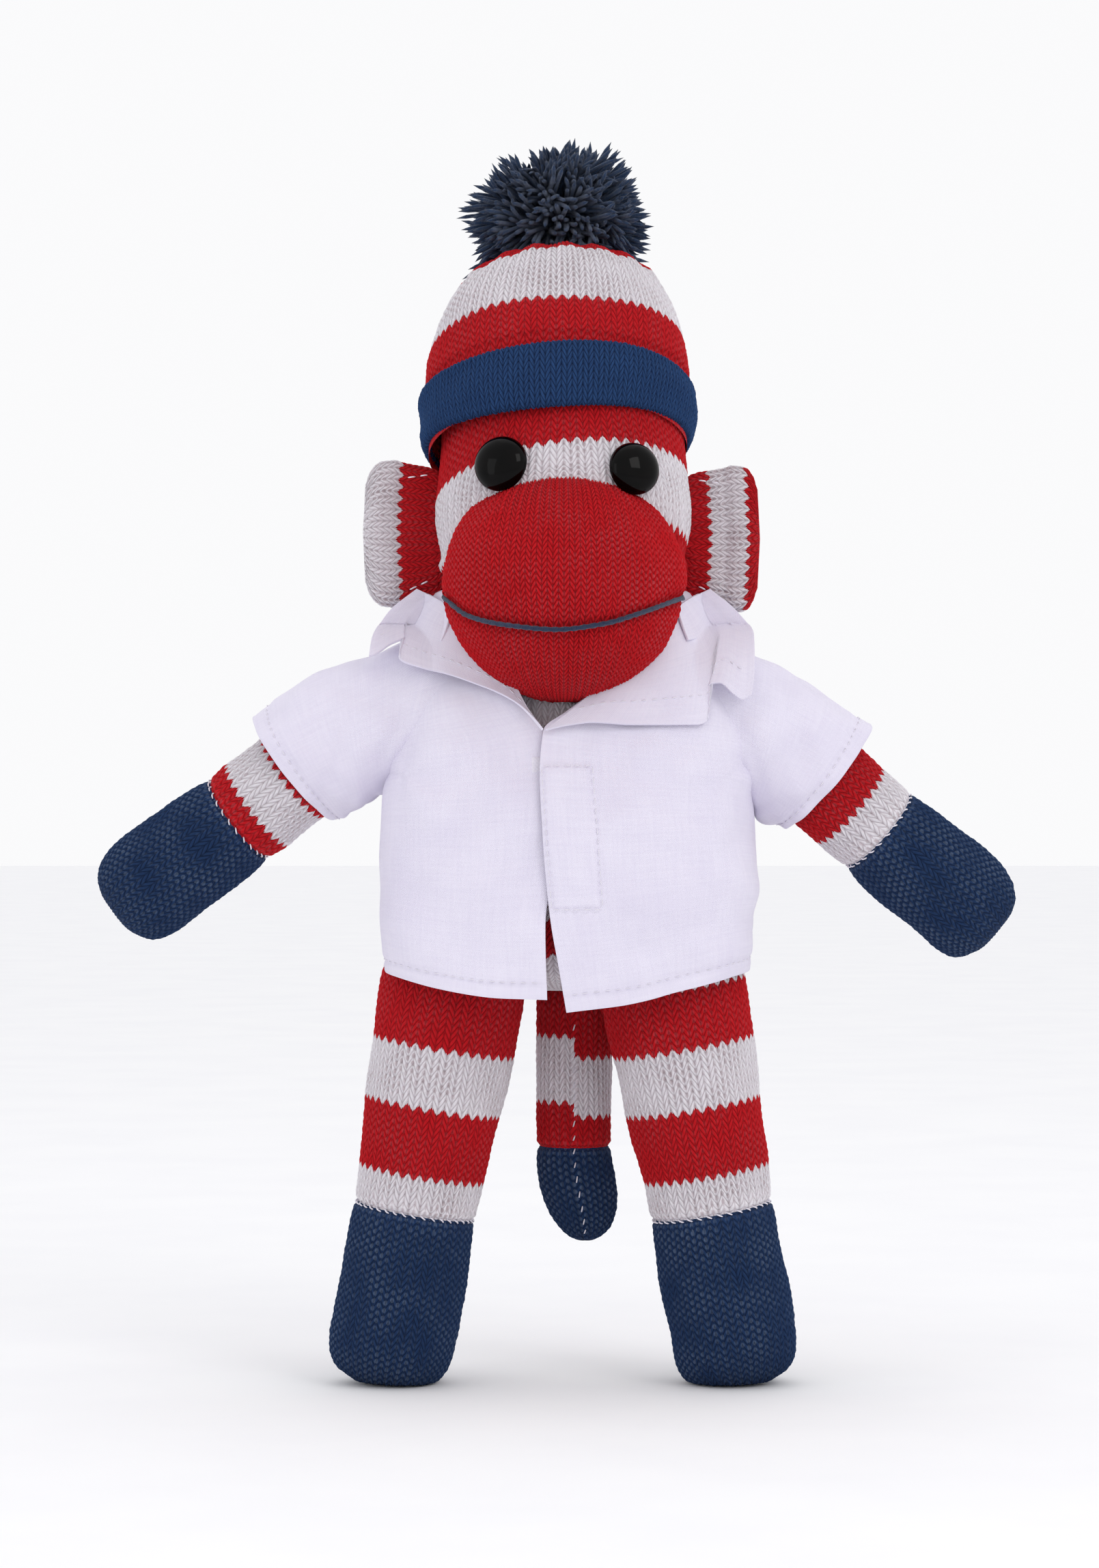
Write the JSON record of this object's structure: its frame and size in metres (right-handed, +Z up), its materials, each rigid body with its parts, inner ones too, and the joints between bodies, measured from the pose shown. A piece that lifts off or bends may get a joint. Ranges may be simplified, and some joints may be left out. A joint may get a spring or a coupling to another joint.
{
  "type": "stuffed sock monkey doll",
  "caption": "Stuffed knit sock monkey doll in a pompom hat and a short-sleeved cotton shirt, with limbs, head, ears, tail and hat that move.",
  "frame": {"origin": "on the floor midway between the two soles, at the bottom centre of the doll's bounding box", "axes": "+Z up, the face looks along -Y, +X towards the doll's own left side"},
  "size_m": [0.2067, 0.0892, 0.2804],
  "materials": {
    "knit_striped": "knitted wool-like yarn in wide red and white stripes, matt",
    "knit_red": "plain red knit, matt",
    "knit_navy": "plain navy knit, matt",
    "yarn_navy": "twisted navy yarn, matt",
    "cotton_white": "thin plain-woven cotton, matt",
    "tape_white": "white hook and loop tape",
    "fibre_fill": "loose white fibre filling",
    "eye_black": "polished black plastic",
    "washer_white": "plain white plastic"
  },
  "bodies": {
    "torso": {"torso_cover": "knit_striped", "torso_stuffing": "fibre_fill", "shirt_back": "cotton_white", "left_front": "cotton_white", "right_front": "cotton_white", "collar": "cotton_white", "loop_tape": "tape_white", "hook_tape": "tape_white"},
    "head": {"head_cover": "knit_striped", "head_stuffing": "fibre_fill", "muzzle_cover": "knit_red", "muzzle_stuffing": "fibre_fill", "mouth_yarn": "yarn_navy", "left_eye": "eye_black", "right_eye": "eye_black", "left_eye_washer": "washer_white", "right_eye_washer": "washer_white"},
    "left_ear": {"left_ear": "knit_striped"},
    "right_ear": {"right_ear": "knit_striped"},
    "hat": {"hat_crown": "knit_striped", "hat_cuff": "knit_navy", "pompom": "yarn_navy", "pompom_tie": "yarn_navy"},
    "left_arm": {"left_arm_cover": "knit_striped", "left_hand_cover": "knit_navy", "left_arm_stuffing": "fibre_fill", "left_sleeve": "cotton_white"},
    "right_arm": {"right_arm_cover": "knit_striped", "right_hand_cover": "knit_navy", "right_arm_stuffing": "fibre_fill", "right_sleeve": "cotton_white"},
    "left_leg": {"left_leg_cover": "knit_striped", "left_foot_cover": "knit_navy", "left_leg_stuffing": "fibre_fill"},
    "right_leg": {"right_leg_cover": "knit_striped", "right_foot_cover": "knit_navy", "right_leg_stuffing": "fibre_fill"},
    "tail": {"tail_cover": "knit_striped", "tail_tip_cover": "knit_navy", "tail_stuffing": "fibre_fill"}
  },
  "joints": [
    {"name": "head_turn", "type": "hinge", "parent": "torso", "child": "head", "pos_m": [0, 0.004, 0.16635], "axis": [0, 0, 1], "range_deg": [-20, 20], "deforming": ["collar"]},
    {"name": "left_ear_flop", "type": "hinge", "parent": "head", "child": "left_ear", "pos_m": [0.0316, 0.002, 0.19], "axis": [0, 0, 1], "range_deg": [-25, 35]},
    {"name": "right_ear_flop", "type": "hinge", "parent": "head", "child": "right_ear", "pos_m": [-0.0316, 0.002, 0.19], "axis": [0, 0, -1], "range_deg": [-25, 35]},
    {"name": "hat_lift", "type": "slide", "parent": "head", "child": "hat", "axis": [0, 0.342, 0.9397], "range_m": [0, 0.06]},
    {"name": "left_shoulder", "type": "hinge", "parent": "torso", "child": "left_arm", "pos_m": [0.0355, 0, 0.1555], "axis": [0, -1, 0], "range_deg": [-16, 60], "deforming": ["shirt_back", "left_sleeve"]},
    {"name": "right_shoulder", "type": "hinge", "parent": "torso", "child": "right_arm", "pos_m": [-0.0355, 0, 0.1555], "axis": [0, 1, 0], "range_deg": [-20, 56], "deforming": ["right_sleeve"]},
    {"name": "left_hip", "type": "hinge", "parent": "torso", "child": "left_leg", "pos_m": [0.0243, 0, 0.092], "axis": [-1, 0, 0], "range_deg": [-15, 85], "deforming": ["left_front"]},
    {"name": "right_hip", "type": "hinge", "parent": "torso", "child": "right_leg", "pos_m": [-0.0243, 0, 0.092], "axis": [-1, 0, 0], "range_deg": [-15, 85], "deforming": ["right_front"]},
    {"name": "tail_swing", "type": "hinge", "parent": "torso", "child": "tail", "pos_m": [0.0025, 0.018, 0.0842], "axis": [1, 0, 0], "range_deg": [-20, 70]}
  ]
}
